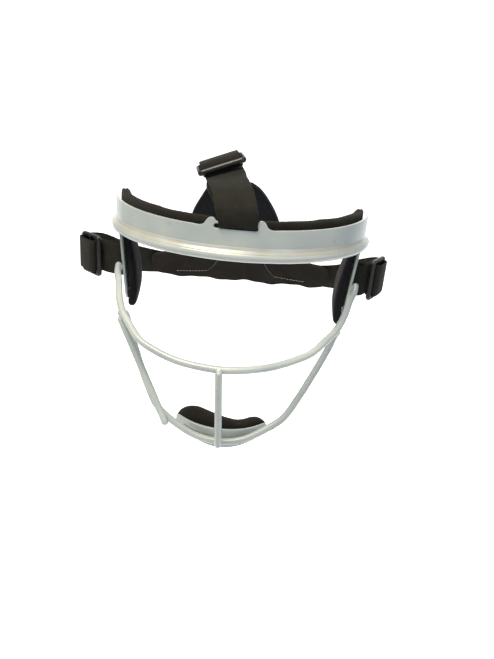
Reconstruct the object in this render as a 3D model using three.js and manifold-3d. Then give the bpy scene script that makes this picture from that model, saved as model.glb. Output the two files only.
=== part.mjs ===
// Softball fielder's face mask: a coated steel wire cage with foam pads, carried by an elastic harness.
// Millimetres, +Z up, the wearer looks along -Y. Left and right are as seen from in front: left is -X.
import * as THREE from 'three';
import { mergeVertices } from 'three/addons/utils/BufferGeometryUtils.js';
import Module from 'manifold-3d';

const wasm = await Module();
wasm.setup();

// ---- driving dimensions ----
const GAP = 0.3;                       // clearance kept between pieces that touch
const BROW_RADIUS = 94;                // plan radius of the brow rail, measured to the wire's centre
const RAIL_WIRE = 3;                   // radius of the brow rail's wire
const BAR_WIRE = 2.5;                  // radius of the cage bars
const SHEET = 1.8;                     // thickness of the coated steel strip parts
const SHELL_OUTER = 93.6;              // plan radius of the brow shell's outer face
const SHELL_HALF_ANGLE = 78;           // degrees of arc on each side of the centre
const SHELL_BOTTOM = RAIL_WIRE + GAP;
const SHELL_TOP_FRONT = 17;            // top edge at the front
const SHELL_TOP_REAR = 20.5;           // top edge at the tips
const TAB_HALF_WIDTH = 18.8;           // raised centre tab that carries the top strap
const TAB_FOOT_HALF_WIDTH = 23;        // where the tab's shoulders run out into the top edge
const TAB_TOP = 22.6;                  // top of the tab's two lobes
const SADDLE_HALF_WIDTH = 13.2;        // the low stretch between the lobes
const SADDLE_TOP = 20.6;
const STRAP_WIDTH = 25.4;
const STRAP_THICKNESS = 1.2;
const SLOT_HALF_WIDTH = 13.7;
const SLOT_LOW = 16.4;
const SLOT_HIGH = 19.2;
const TAPE_THICKNESS = 1.2;            // hook-and-loop tape behind each pad
const BROW_PAD_THICKNESS = 6;
const BROW_PAD_BOTTOM = -4;
const CUP_RADIUS = 50;
const CUP_FRONT = 3.7;                 // y of the cup's middle surface at the centre
const CHIN_PAD_THICKNESS = 10;
const PLATE_LEAN = THREE.MathUtils.degToRad(3.8);
const PLATE_TOP_X = 89.6;              // x of the temple plate's middle surface at its top edge
const PLATE_TOP_Z = -3.5;
const TEMPLE_PAD_THICKNESS = 7;
const PANEL_THICKNESS = 4;
const PANEL_FOOT = new THREE.Vector3(0, 168, -66);   // foot of the rear panel's centre line
const PANEL_LEAN = THREE.MathUtils.degToRad(28);     // the panel leans forward by this much
const PANEL_CURL = 0.002;              // the panel bends forward by this times x squared
const SLIDER_LENGTH = 25;
const SLIDER_WIDTH = 33;
const SLIDER_THICKNESS = 3.2;
const SLIDER_END_BAR = 4;
const SLIDER_CENTRE_BAR = 3;
const FOREHEAD = new THREE.Vector3(0, 10, 8);      // where the brow pad meets the forehead: the part's origin

// ---- materials ----
const coat = new THREE.MeshStandardMaterial({ color: 0xb4c0be, roughness: 0.35, metalness: 0.1 });
const foam = new THREE.MeshStandardMaterial({ color: 0x2e2b28, roughness: 0.95, metalness: 0 });
const elastic = new THREE.MeshStandardMaterial({ color: 0x35322c, roughness: 0.9, metalness: 0 });
const nylon = new THREE.MeshStandardMaterial({ color: 0x0d0e10, roughness: 0.3, metalness: 0 });
const neoprene = new THREE.MeshStandardMaterial({ color: 0x0a1420, roughness: 0.85, metalness: 0 });
const tape = new THREE.MeshStandardMaterial({ color: 0x141414, roughness: 1, metalness: 0 });

// ---- helpers ----
function toSolid(geometry) {
  const bare = geometry.clone();
  bare.deleteAttribute('normal');
  bare.deleteAttribute('uv');
  const merged = mergeVertices(bare, 1e-4);
  return new wasm.Manifold(new wasm.Mesh({
    numProp: 3,
    vertProperties: new Float32Array(merged.attributes.position.array),
    triVerts: new Uint32Array(merged.index.array),
  }));
}

function toGeometry(solid) {
  const result = solid.getMesh();
  const geometry = new THREE.BufferGeometry();
  geometry.setAttribute('position', new THREE.BufferAttribute(new Float32Array(result.vertProperties), 3));
  geometry.setIndex(new THREE.BufferAttribute(new Uint32Array(result.triVerts), 1));
  geometry.computeVertexNormals();
  return geometry;
}

const cage = new THREE.Group();

function addNode(name, shape, material, parent = cage) {
  const geometry = shape.isBufferGeometry ? shape : toGeometry(shape);
  const mesh = new THREE.Mesh(geometry, material);
  mesh.name = name;
  parent.add(mesh);
  return mesh;
}

// An outline pushed along one axis: 'x' takes (y, z) points, 'y' takes (x, z) and 'z' takes (x, y).
function prism(points, axis, low, high) {
  const isShape = points instanceof THREE.Shape;
  const shape = isShape ? points : new THREE.Shape(points.map(([a, b]) => new THREE.Vector2(a, b)));
  const settings = { depth: high - low, bevelEnabled: false, curveSegments: 12 };
  const geometry = new THREE.ExtrudeGeometry(shape, settings);
  geometry.translate(0, 0, low);
  if (axis === 'x') {
    geometry.applyMatrix4(new THREE.Matrix4().set(0, 0, 1, 0, 1, 0, 0, 0, 0, 1, 0, 0, 0, 0, 0, 1));
  }
  if (axis === 'y') {
    geometry.rotateX(Math.PI / 2);
    geometry.scale(1, -1, 1);
    turnFacesOver(geometry);
  }
  return toSolid(geometry);
}

// Swaps two corners of every triangle, because a mirrored shape has its faces pointing inwards.
function turnFacesOver(geometry) {
  const position = geometry.attributes.position;
  for (let i = 0; i < position.count; i += 3) {
    const a = new THREE.Vector3().fromBufferAttribute(position, i);
    const b = new THREE.Vector3().fromBufferAttribute(position, i + 1);
    position.setXYZ(i, b.x, b.y, b.z);
    position.setXYZ(i + 1, a.x, a.y, a.z);
  }
}

function box(low, high) {
  const size = high.map((v, i) => v - low[i]);
  const geometry = new THREE.BoxGeometry(...size);
  geometry.translate(low[0] + size[0] / 2, low[1] + size[1] / 2, low[2] + size[2] / 2);
  return toSolid(geometry);
}

// A standing strip of the plan ring round (0, centreY), open to the rear.
function arcStrip(centreY, inner, outer, halfAngle, low, high) {
  const half = THREE.MathUtils.degToRad(halfAngle);
  const front = -Math.PI / 2;
  const shape = new THREE.Shape();
  shape.absarc(0, centreY, outer, front - half, front + half, false);
  shape.absarc(0, centreY, inner, front + half, front - half, true);
  const settings = { depth: high - low, bevelEnabled: false, curveSegments: 40 };
  const geometry = new THREE.ExtrudeGeometry(shape, settings);
  geometry.translate(0, 0, low);
  return toSolid(geometry);
}

// A round bar along a smooth curve through the given points.
function wire(points, radius, steps, sides = 10) {
  const path = new THREE.CatmullRomCurve3(points.map((p) => new THREE.Vector3(...p)), false, 'centripetal');
  const section = new THREE.Shape();
  for (let i = 0; i < sides; i += 1) {
    const angle = (2 * Math.PI * i) / sides;
    const corner = [radius * Math.cos(angle), radius * Math.sin(angle)];
    if (i === 0) section.moveTo(...corner);
    else section.lineTo(...corner);
  }
  return new THREE.ExtrudeGeometry(section, { steps, extrudePath: path, bevelEnabled: false });
}

// A closed body through a row of rings that all have the same number of points.
function loft(rings) {
  const count = rings[0].length;
  const points = rings.flat();
  const faces = [];
  for (let r = 0; r + 1 < rings.length; r += 1) {
    for (let i = 0; i < count; i += 1) {
      const a = r * count + i;
      const b = r * count + ((i + 1) % count);
      faces.push(a, b, b + count, a, b + count, a + count);
    }
  }
  const last = (rings.length - 1) * count;
  for (let i = 0; i + 1 < count / 2; i += 1) {
    const j = count - 1 - i;
    faces.push(i, j, i + 1, last + i, last + i + 1, last + j);
    if (j - 1 > i + 1) faces.push(i + 1, j, j - 1, last + i + 1, last + j - 1, last + j);
  }
  const geometry = new THREE.BufferGeometry();
  geometry.setAttribute('position', new THREE.Float32BufferAttribute(points.flatMap((p) => p.toArray()), 3));
  geometry.setIndex(faces);
  geometry.computeVertexNormals();
  return geometry;
}

// Flat webbing that follows a curve; acrossAt(t) gives the direction of its width at each part of the way.
function ribbon(points, acrossAt, steps, width = STRAP_WIDTH, thickness = STRAP_THICKNESS) {
  const path = new THREE.CatmullRomCurve3(points.map((p) => new THREE.Vector3(...p)), false, 'centripetal');
  const rings = [];
  for (let i = 0; i <= steps; i += 1) {
    const t = i / steps;
    const centre = path.getPoint(t);
    const along = path.getTangent(t);
    const across = acrossAt(t).clone();
    across.addScaledVector(along, -across.dot(along)).normalize().multiplyScalar(width / 2);
    const normal = new THREE.Vector3().crossVectors(along, across).normalize().multiplyScalar(thickness / 2);
    rings.push([
      centre.clone().add(across).add(normal),
      centre.clone().sub(across).add(normal),
      centre.clone().sub(across).sub(normal),
      centre.clone().add(across).sub(normal),
    ]);
  }
  return loft(rings);
}

// The whole of a symmetric bar from its right half.
const mirrored = (points) => [...points.slice(1).reverse().map(([x, y, z]) => [-x, y, z]), ...points];

// The same for a cage bar, which is sprung a little outwards and downwards on its left side.
function sprung(points, outwards, downwards) {
  const reach = points.at(-1)[0];
  return mirrored(points).map(([x, y, z]) => {
    const bow = Math.sin(Math.PI * Math.min(0, x / reach));
    return [x + outwards * bow, y, z + downwards * bow];
  });
}

// ---- brow: rail, shell, hook tape and pad ----
function browRail() {
  const half = [];
  for (let degrees = 0; degrees <= 78; degrees += 6) {
    const angle = THREE.MathUtils.degToRad(degrees);
    half.push([BROW_RADIUS * Math.sin(angle), BROW_RADIUS * (1 - Math.cos(angle)), 0]);
  }
  half.push([93, 82, 0], [91.2, 88.5, 0], [86, 92.5, 0]);
  return wire(mirrored(half), RAIL_WIRE, 70);
}

function browShell() {
  const reach = 130;
  const inner = SHELL_OUTER - SHEET;
  let shell = arcStrip(BROW_RADIUS, inner, SHELL_OUTER, SHELL_HALF_ANGLE, SHELL_BOTTOM, TAB_TOP);
  const aboveEdge = [[-5, SHELL_TOP_FRONT], [80, SHELL_TOP_REAR], [80, 60], [-5, 60]];
  shell = shell.subtract(prism(aboveEdge, 'x', TAB_FOOT_HALF_WIDTH - 0.2, reach));
  shell = shell.subtract(prism(aboveEdge, 'x', -reach, 0.2 - TAB_FOOT_HALF_WIDTH));
  for (const side of [-1, 1]) {
    const foot = side * TAB_FOOT_HALF_WIDTH;
    const lobe = side * (TAB_HALF_WIDTH - 3.5);
    const shoulder = new THREE.Shape();
    shoulder.moveTo(foot, SHELL_TOP_FRONT);
    shoulder.quadraticCurveTo(
      side * TAB_HALF_WIDTH, SHELL_TOP_FRONT,
      side * (TAB_HALF_WIDTH - 1), TAB_TOP - 3,
    );
    shoulder.quadraticCurveTo(side * (TAB_HALF_WIDTH - 2), TAB_TOP, lobe, TAB_TOP);
    shoulder.lineTo(lobe, TAB_TOP + 5);
    shoulder.lineTo(foot, TAB_TOP + 5);
    shell = shell.subtract(prism(shoulder, 'y', -5, 20));
  }
  shell = shell.subtract(box([-SADDLE_HALF_WIDTH, -5, SADDLE_TOP], [SADDLE_HALF_WIDTH, 20, 40]));
  return shell.subtract(box([-SLOT_HALF_WIDTH, -5, SLOT_LOW], [SLOT_HALF_WIDTH, 20, SLOT_HIGH]));
}

function browTape() {
  const outer = SHELL_OUTER - SHEET - GAP;
  return arcStrip(BROW_RADIUS, outer - TAPE_THICKNESS, outer, 74, 4, 11.5);
}

function browPad() {
  const outer = SHELL_OUTER - SHEET - TAPE_THICKNESS - 2 * GAP;
  let pad = arcStrip(BROW_RADIUS, outer - BROW_PAD_THICKNESS, outer, 77, BROW_PAD_BOTTOM, 30);
  pad = pad.subtract(prism([[-5, 20.5], [75, 24], [95, 24], [95, 60], [-5, 60]], 'x', -120, 120));
  return pad.subtract(box([-SLOT_HALF_WIDTH, 0, 12], [SLOT_HALF_WIDTH, 6.2, 40]));
}

addNode('brow_rail', browRail(), coat);
addNode('brow_shell', browShell(), coat);
addNode('brow_hook_tape', browTape(), tape);
addNode('brow_pad', browPad(), foam);

// ---- cage bars ----
const eyeHalf = [
  [0, -14, -70.8], [22.6, -10.7, -69.2], [35.4, -6.4, -67.1], [48.3, -0.2, -64], [56.4, 5, -61.4],
  [66.9, 17, -55.4], [73, 24.7, -51.5], [78.9, 36.7, -45.5], [84.2, 54, -39.6], [88.1, 65, -36.2],
  [91, 78, -33.8],
];
const chinHalf = [
  [0, 0, -133], [14.7, 1, -130.9], [30.5, 4.8, -123.4], [42.5, 8.9, -115.2], [52, 15.6, -101.7],
  [60.8, 23.2, -86.6], [70.1, 31.8, -69.3], [73.4, 33.7, -60], [75.8, 32.5, -54.2],
];
const centreLine = [[-3.2, -19.3, -69.5], [-2.1, -12.4, -102], [-1, -5.4, -134.5]];
const strutLine = [[-77.5, 27, -56.5], [-57.8, 13.2, -90], [-38.1, -0.6, -123.5]];
addNode('eye_bar', wire(sprung(eyeHalf, 3, 1.5), BAR_WIRE, 60), coat);
addNode('chin_bar', wire(sprung(chinHalf, 3.5, 0), BAR_WIRE, 60), coat);
addNode('centre_bar', wire(centreLine, BAR_WIRE, 4, 12), coat);
addNode('left_strut', wire(strutLine, BAR_WIRE, 4, 12), coat);

// ---- chin: cup, hook tape and pad ----
function chinStrip(thickness, setBack, outline) {
  const outer = CUP_RADIUS - setBack;
  const strip = arcStrip(CUP_FRONT + CUP_RADIUS, outer - thickness, outer, 50, -145, -110);
  return strip.intersect(prism(outline, 'y', -10, 45));
}

function splineOutline(upper, lower) {
  const shape = new THREE.Shape();
  shape.moveTo(...upper[0]);
  shape.splineThru(upper.slice(1).map(([x, z]) => new THREE.Vector2(x, z)));
  shape.lineTo(...lower[0]);
  shape.splineThru(lower.slice(1).map(([x, z]) => new THREE.Vector2(x, z)));
  return shape;
}

const cupUpper = [[-34, -123], [-18, -124.8], [0, -125.3], [18, -124.8], [32, -123]];
const cupLower = [[32, -129.5], [24, -134.8], [12, -138.8], [0, -140.2], [-12, -138.8], [-24, -134.8],
  [-34, -129.5]];
const tapeUpper = [[-26, -126], [0, -127.5], [26, -126]];
const tapeLower = [[26, -129], [0, -135.5], [-26, -129]];
const padUpper = [[-33.5, -124], [-30, -118.5], [-22, -116.5], [-10, -118.5], [4, -122], [14, -123.6],
  [24, -121.6], [31.5, -125]];
const padLower = [[31, -130], [20, -134], [0, -138], [-20, -134], [-33, -129]];
const tapeSetBack = SHEET / 2 + GAP;
const padSetBack = tapeSetBack + TAPE_THICKNESS + GAP;
const chinTape = chinStrip(TAPE_THICKNESS, tapeSetBack, splineOutline(tapeUpper, tapeLower));
addNode('chin_cup', chinStrip(SHEET, -SHEET / 2, splineOutline(cupUpper, cupLower)), coat);
addNode('chin_hook_tape', chinTape, tape);
addNode('chin_pad', chinStrip(CHIN_PAD_THICKNESS, padSetBack, splineOutline(padUpper, padLower)), foam);

// ---- temples: plate, hook tape and pad on each side ----
// Each temple is drawn on the right with its outer face at x = SHEET / 2, its top edge at PLATE_TOP_Z.
function templePlate() {
  const outline = new THREE.Shape();
  outline.moveTo(75, PLATE_TOP_Z);
  outline.lineTo(80.5, -56);
  outline.quadraticCurveTo(81.5, -65, 88, -63);
  outline.quadraticCurveTo(100, -57, 102, -44);
  outline.lineTo(102, -12);
  outline.quadraticCurveTo(102, PLATE_TOP_Z, 94, PLATE_TOP_Z);
  const slot = [[89.5, -20], [94.5, -20], [94.5, -48], [89.5, -48]];
  return prism(outline, 'x', -SHEET / 2, SHEET / 2).subtract(prism(slot, 'x', -5, 5));
}

function templeTape() {
  const inner = -SHEET / 2 - GAP;
  return prism([[79, -9], [86.5, -9], [86.5, -54], [82.5, -54]], 'x', inner - TAPE_THICKNESS, inner);
}

function templePad() {
  const face = -SHEET / 2 - TAPE_THICKNESS - 2 * GAP;
  const outline = new THREE.Shape();
  outline.moveTo(76.5, -7);
  outline.lineTo(79, -56);
  outline.quadraticCurveTo(80, -69, 86, -67);
  outline.quadraticCurveTo(99, -60, 101.5, -46);
  outline.quadraticCurveTo(102, -20, 93, -7);
  const relief = [[87.5, -19.5], [110, -19.5], [110, -50.5], [87.5, -50.5]];
  const pad = prism(outline, 'x', face - TEMPLE_PAD_THICKNESS, face);
  return pad.subtract(prism(relief, 'x', face - 1.6, 5));
}

for (const [name, side] of [['left', -1], ['right', 1]]) {
  const temple = new THREE.Group();
  temple.position.set(side * PLATE_TOP_X, 0, PLATE_TOP_Z);
  temple.rotation.y = side * PLATE_LEAN;
  cage.add(temple);
  for (const [piece, shape, material] of [
    ['temple_plate', templePlate(), coat],
    ['temple_hook_tape', templeTape(), tape],
    ['temple_pad', templePad(), foam],
  ]) {
    const geometry = toGeometry(side < 0 ? shape.mirror([1, 0, 0]) : shape);
    geometry.translate(0, 0, -PLATE_TOP_Z);
    addNode(`${piece}_${name}`, geometry, material, temple);
  }
}

// ---- rear panel ----
function panelPoint(x, up, out) {
  const y = PANEL_FOOT.y - up * Math.sin(PANEL_LEAN) - PANEL_CURL * x * x + out;
  return new THREE.Vector3(x, y, PANEL_FOOT.z + up * Math.cos(PANEL_LEAN));
}

function rearPanel() {
  // Rows of the panel from its foot to its apex: height along the panel, left edge, right edge.
  const rows = [
    [0, -66, 66], [3, -77, 77], [16, -79, 79], [27, -77, 76], [31, -62, 56], [38, -52, 42],
    [52, -46, 34], [74, -43, 29], [92, -35, 20], [103, -29, 12], [108, -26, 6],
  ];
  const columns = 14;
  return loft(rows.map(([up, left, right]) => {
    const ring = [];
    for (let i = 0; i <= columns; i += 1) {
      ring.push(panelPoint(left + ((right - left) * i) / columns, up, 0));
    }
    for (let i = columns; i >= 0; i -= 1) {
      ring.push(panelPoint(left + ((right - left) * i) / columns, up, PANEL_THICKNESS));
    }
    return ring;
  }));
}

addNode('rear_panel', rearPanel(), neoprene);

// ---- sliders: a flat frame with a centre bar, drawn in (length, width), its thickness along local Z ----
function slider() {
  const halfLength = SLIDER_LENGTH / 2;
  const halfWidth = SLIDER_WIDTH / 2;
  const corner = 3;
  const outline = new THREE.Shape();
  outline.moveTo(-halfLength + corner, -halfWidth);
  outline.lineTo(halfLength - corner, -halfWidth);
  outline.absarc(halfLength - corner, -halfWidth + corner, corner, -Math.PI / 2, 0, false);
  outline.lineTo(halfLength, halfWidth - corner);
  outline.absarc(halfLength - corner, halfWidth - corner, corner, 0, Math.PI / 2, false);
  outline.lineTo(-halfLength + corner, halfWidth);
  outline.absarc(-halfLength + corner, halfWidth - corner, corner, Math.PI / 2, Math.PI, false);
  outline.lineTo(-halfLength, -halfWidth + corner);
  outline.absarc(-halfLength + corner, -halfWidth + corner, corner, Math.PI, 1.5 * Math.PI, false);
  let body = prism(outline, 'z', -SLIDER_THICKNESS / 2, SLIDER_THICKNESS / 2);
  const slotEnd = halfLength - SLIDER_END_BAR;
  const slotHalf = STRAP_WIDTH / 2 + 0.9;
  for (const side of [-1, 1]) {
    const near = side * (SLIDER_CENTRE_BAR / 2);
    const far = side * slotEnd;
    body = body.subtract(box([Math.min(near, far), -slotHalf, -5], [Math.max(near, far), slotHalf, 5]));
  }
  return body;
}

// The strap's end, folded round the slider's centre bar: up one slot, over the bar and down the other.
function sliderFold() {
  const half = [[0, 2.6], [3.2, 2], [4.6, -0.4], [6.5, -2.6], [9.5, -3.1]];
  const fold = [...half.slice(1).reverse().map(([along, out]) => [-along, out]), ...half];
  return ribbon(fold.map(([along, out]) => [along, 0, out]), () => new THREE.Vector3(0, 1, 0), 24);
}

// along = the way the strap runs through the slider, out = away from the wearer's head
function sliderFrame(centre, along, out) {
  const x = along.clone().normalize();
  const z = out.clone().addScaledVector(x, -out.dot(x)).normalize();
  return { centre, x, y: new THREE.Vector3().crossVectors(z, x), z };
}

function pointOn(frame, along, out) {
  return frame.centre.clone().addScaledVector(frame.x, along).addScaledVector(frame.z, out).toArray();
}

function placeSlider(frame, sliderName, foldName) {
  const holder = new THREE.Group();
  holder.setRotationFromMatrix(new THREE.Matrix4().makeBasis(frame.x, frame.y, frame.z));
  holder.position.copy(frame.centre);
  cage.add(holder);
  addNode(sliderName, slider(), nylon, holder);
  addNode(foldName, sliderFold(), elastic, holder);
}

const STRAP_LEVEL = -34;               // height of the side straps at the temples
const STRAP_UNDER_SLIDER = -5.0;       // the layer that runs on to the rear panel
const LOOP_END_UNDER_SLIDER = -6.8;    // the layer that ends under the slider, sewn to its fold

// ---- top strap: round the bar of the brow tab, up under the slider and over to the rear panel ----
const topFrame = sliderFrame(
  new THREE.Vector3(-15.4, 50.3, 49),
  new THREE.Vector3(-2, 11, 0.5),
  new THREE.Vector3(-3.2, -4.2, 10),
);
const topPath = [
  pointOn(topFrame, 8, LOOP_END_UNDER_SLIDER),
  pointOn(topFrame, -12, LOOP_END_UNDER_SLIDER),
  [-9.5, 28, 39.2], [-4.5, 16, 34.5], [-1.2, 6.8, 28.5],
  [0.3, 4.7, 23.4], [0.5, 4.7, 19.5], [0.5, 2, 17.4], [0.5, -0.3, 18.8], [0.5, -0.9, 22.4],
  [-0.8, 0.6, 29.4], [-3.9, 10.6, 37.4], [-8.4, 25, 42],
  pointOn(topFrame, -16, STRAP_UNDER_SLIDER - 0.7),
  pointOn(topFrame, -10, STRAP_UNDER_SLIDER),
  pointOn(topFrame, 0, STRAP_UNDER_SLIDER),
  pointOn(topFrame, 12, STRAP_UNDER_SLIDER),
  [-16.8, 80, 43.5], [-16, 98, 42], [-14.5, 112, 38.5],
  [-12.5, 120.7, 33.5], [-11, 126.2, 22.9], [-9.5, 132, 12],
];
const topAcross = (t) => {
  const tilt = t < 0.45 ? Math.abs(t - 0.35) / 0.35 : Math.min(1, (t - 0.45) / 0.2);
  const late = Math.min(1, Math.max(0, (t - 0.75) / 0.12));
  return new THREE.Vector3(1, 0.06 * tilt - 0.166 * late, 0.34 * tilt - 0.14 * late);
};
addNode('top_strap', ribbon(topPath, topAcross, 72), elastic);
placeSlider(topFrame, 'top_slider', 'top_strap_fold');

// ---- side straps: from the panel's wing, under the slider, round the plate's rear bar and back ----
function sideStrap(name, side, [centreX, centreY], turn) {
  const frame = sliderFrame(
    new THREE.Vector3(side * centreX, centreY, STRAP_LEVEL),
    new THREE.Vector3(side * Math.sin(turn), Math.cos(turn), 0),
    new THREE.Vector3(side * Math.cos(turn), -Math.sin(turn), 0),
  );
  const swell = centreX - 111;
  const toSide = ([x, y, z]) => [side * x, y, z];
  const fromPanel = [
    [58, 159.3, -51.5], [74, 155, -51], [90, 147.5, -48],
    [104 + swell, 137.5, -41], [113 + swell, 127, -35.5],
  ];
  const roundPlateBar = [
    [96, 92], [91.2, 91.3], [88, 91.4], [86, 93], [85.6, 97], [85.8, 101.6], [87.6, 103.9], [90, 102.6],
    [95, 98.6],
  ].map(([x, y]) => [x, y, STRAP_LEVEL]);
  const path = [
    ...fromPanel.map(toSide),
    pointOn(frame, 17, STRAP_UNDER_SLIDER - 0.9),
    pointOn(frame, 11, STRAP_UNDER_SLIDER),
    pointOn(frame, 0, STRAP_UNDER_SLIDER),
    pointOn(frame, -9, STRAP_UNDER_SLIDER),
    pointOn(frame, -14, STRAP_UNDER_SLIDER - 0.4),
    ...roundPlateBar.map(toSide),
    pointOn(frame, -10, LOOP_END_UNDER_SLIDER - 0.6),
    pointOn(frame, -3, LOOP_END_UNDER_SLIDER),
    pointOn(frame, 8, LOOP_END_UNDER_SLIDER),
  ];
  const onPanel = new THREE.Vector3(0, -Math.sin(PANEL_LEAN), Math.cos(PANEL_LEAN));
  const onPlate = new THREE.Vector3(side * Math.sin(PLATE_LEAN), 0, Math.cos(PLATE_LEAN));
  const upright = new THREE.Vector3(0, 0, 1);
  const ramp = (t, from, to) => THREE.MathUtils.clamp((t - from) / (to - from), 0, 1);
  const across = (t) => onPanel.clone().lerp(upright, ramp(t, 0.05, 0.2))
    .lerp(onPlate, ramp(t, 0.42, 0.5) - ramp(t, 0.8, 0.86));
  addNode(`side_strap_${name}`, ribbon(path, across, 76), elastic);
  placeSlider(frame, `side_slider_${name}`, `side_strap_fold_${name}`);
}

sideStrap('left', -1, [118.5, 100.5], THREE.MathUtils.degToRad(48));
sideStrap('right', 1, [110.5, 103.5], THREE.MathUtils.degToRad(30));

cage.position.copy(FOREHEAD).negate();
const mask = new THREE.Group();
mask.add(cage);
export default mask;
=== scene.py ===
import math

import bmesh
import bpy
from mathutils import Matrix, Vector, noise


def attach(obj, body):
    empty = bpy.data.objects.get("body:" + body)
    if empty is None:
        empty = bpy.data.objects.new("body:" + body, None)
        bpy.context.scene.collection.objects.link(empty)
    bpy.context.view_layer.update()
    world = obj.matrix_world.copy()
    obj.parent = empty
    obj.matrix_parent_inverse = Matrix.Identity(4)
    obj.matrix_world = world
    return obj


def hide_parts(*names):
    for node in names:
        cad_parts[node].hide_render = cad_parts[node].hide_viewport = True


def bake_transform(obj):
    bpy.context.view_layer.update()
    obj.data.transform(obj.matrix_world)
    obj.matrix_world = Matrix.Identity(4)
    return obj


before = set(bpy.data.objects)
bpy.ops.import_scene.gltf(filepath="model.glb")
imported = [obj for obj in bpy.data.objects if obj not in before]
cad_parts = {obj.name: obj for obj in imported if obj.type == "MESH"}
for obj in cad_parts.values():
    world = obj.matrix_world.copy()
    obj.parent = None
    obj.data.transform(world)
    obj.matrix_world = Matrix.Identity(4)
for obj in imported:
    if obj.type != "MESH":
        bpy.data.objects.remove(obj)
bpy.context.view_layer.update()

MM = 0.001
FOREHEAD = Vector((0, 10, 8))          # the frame's origin, seen from the cage's
BROW_RADIUS = 94                       # middle line of the brow rail, round the head
RAIL_WIRE = 3                          # radii of the wires, over their coat
BAR_WIRE = 2.5
SHEET = 1.8                            # coated steel strip
SHEET_EDGE = 0.5                       # how far its edges are rounded
STRAP_WIDTH = 25.4
STRAP_THICKNESS = 1.2
TOP_FOLD_WIDTH = 27.2                  # the top strap's end is a little wider than the side straps'
STRAP_LEVEL = -34                      # height of the side straps at the temples
STRAP_UNDER_SLIDER = -5.0              # where the strap and its looped end run, from the slider's middle
LOOP_END_UNDER_SLIDER = -6.8
SLIDER_HALF_LENGTH = 12.5
SLIDER_HALF_WIDTH = 16.5
SLIDER_THICKNESS = 3.8
SLIDER_EDGE = 1.6
SLIDER_SLOT = (1.5, 8.5)               # each slot's near and far side, from the middle bar's middle
PLATE_LEAN = math.radians(3.8)         # the temple plates lean out towards their tops
PLATE_TOP_X = 89.6
PLATE_TOP_Z = -3.5
PANEL_FOOT = Vector((0, 168, -66))     # rear panel: the middle of its lower edge
PANEL_LEAN = math.radians(28)
PANEL_CURL = 0.002                     # how fast its wings run forwards, per mm
PANEL_THICKNESS = 4
DOUBLE = 0.02 * MM                     # points nearer than this are one
CLOTH_FRAMES = 20
FLOOR = -0.5                           # metres


def at(x, y, z):
    return (Vector((x, y, z)) - FOREHEAD) * MM


def cage_mm(co):
    """The way back: a frame point in the cage's millimetres."""
    return co / MM + FOREHEAD


def new_object(name, data):
    thing = bpy.data.objects.new(name, data)
    bpy.context.scene.collection.objects.link(thing)
    return thing


# ---- camera: 35 cm from the brow, looking down on it, with the mask turned a little clockwise ----
def make_camera():
    yaw, pitch, roll = math.radians(0.52), math.radians(21.83), math.radians(5.02)
    ahead = Vector((-math.sin(yaw) * math.cos(pitch), math.cos(yaw) * math.cos(pitch), -math.sin(pitch)))
    level = Vector((math.cos(yaw), math.sin(yaw), 0))
    up = level.cross(ahead)
    right = level * math.cos(roll) + up * math.sin(roll)
    up = up * math.cos(roll) - level * math.sin(roll)
    data = bpy.data.cameras.new("camera")
    data.lens = 30.6
    data.sensor_width = 36
    data.clip_start = 0.01
    camera = new_object("camera", data)
    camera.matrix_world = Matrix((right, up, -ahead)).transposed().to_4x4()
    camera.location = at(15.04, -335.0, 87.09)
    bpy.context.scene.camera = camera


make_camera()


# ---- materials ----
def linear(code):
    """An sRGB hex colour as the linear colour that shaders take."""
    values = [int(code[i:i + 2], 16) / 255 for i in (1, 3, 5)]
    return tuple(v / 12.92 if v <= 0.04045 else ((v + 0.055) / 1.055) ** 2.4 for v in values) + (1.0,)


def add(tree, kind, links=(), **settings):
    """A new node with its settings; links gives each input the socket that feeds it, or a plain value."""
    node = tree.nodes.new("ShaderNode" + kind)
    for name, value in settings.items():
        setattr(node, name, value)
    for socket, source in dict(links).items():
        if isinstance(source, bpy.types.NodeSocket):
            tree.links.new(source, node.inputs[socket])
        else:
            node.inputs[socket].default_value = source
    return node


def new_material(name, **sockets):
    material = bpy.data.materials.new(name)
    material.use_nodes = True
    tree = material.node_tree
    shader = tree.nodes["Principled BSDF"]
    for socket, value in sockets.items():
        shader.inputs[socket.replace("_", " ")].default_value = value
    return material, tree, shader


def millimetres(tree):
    """Object coordinates in millimetres."""
    place = add(tree, "TexCoord")
    return add(tree, "VectorMath", {0: place.outputs["Object"], 3: 1000.0}, operation="SCALE").outputs[0]


def noise_mm(tree, place, size, detail=2.0, roughness=0.5):
    """Noise whose patches are about size millimetres across."""
    links = {"Vector": place, "Scale": 1.0 / size, "Detail": detail, "Roughness": roughness}
    return add(tree, "TexNoise", links).outputs["Fac"]


def ramp(tree, value, low, high, low_out=0.0, high_out=1.0):
    node = add(tree, "MapRange", {"Value": value, "From Min": low, "From Max": high, "To Min": low_out,
                                  "To Max": high_out})
    return node.outputs["Result"]


def math_node(tree, operation, a, b=0.0):
    return add(tree, "Math", {0: a, 1: b}, operation=operation).outputs[0]


def mix(tree, factor, a, b):
    return add(tree, "Mix", {0: factor, 6: a, 7: b}, data_type="RGBA").outputs[2]


def bump(tree, shader, height, distance_mm, strength=1.0):
    node = add(tree, "Bump", {"Height": height, "Distance": distance_mm * MM, "Strength": strength})
    tree.links.new(node.outputs["Normal"], shader.inputs["Normal"])


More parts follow.
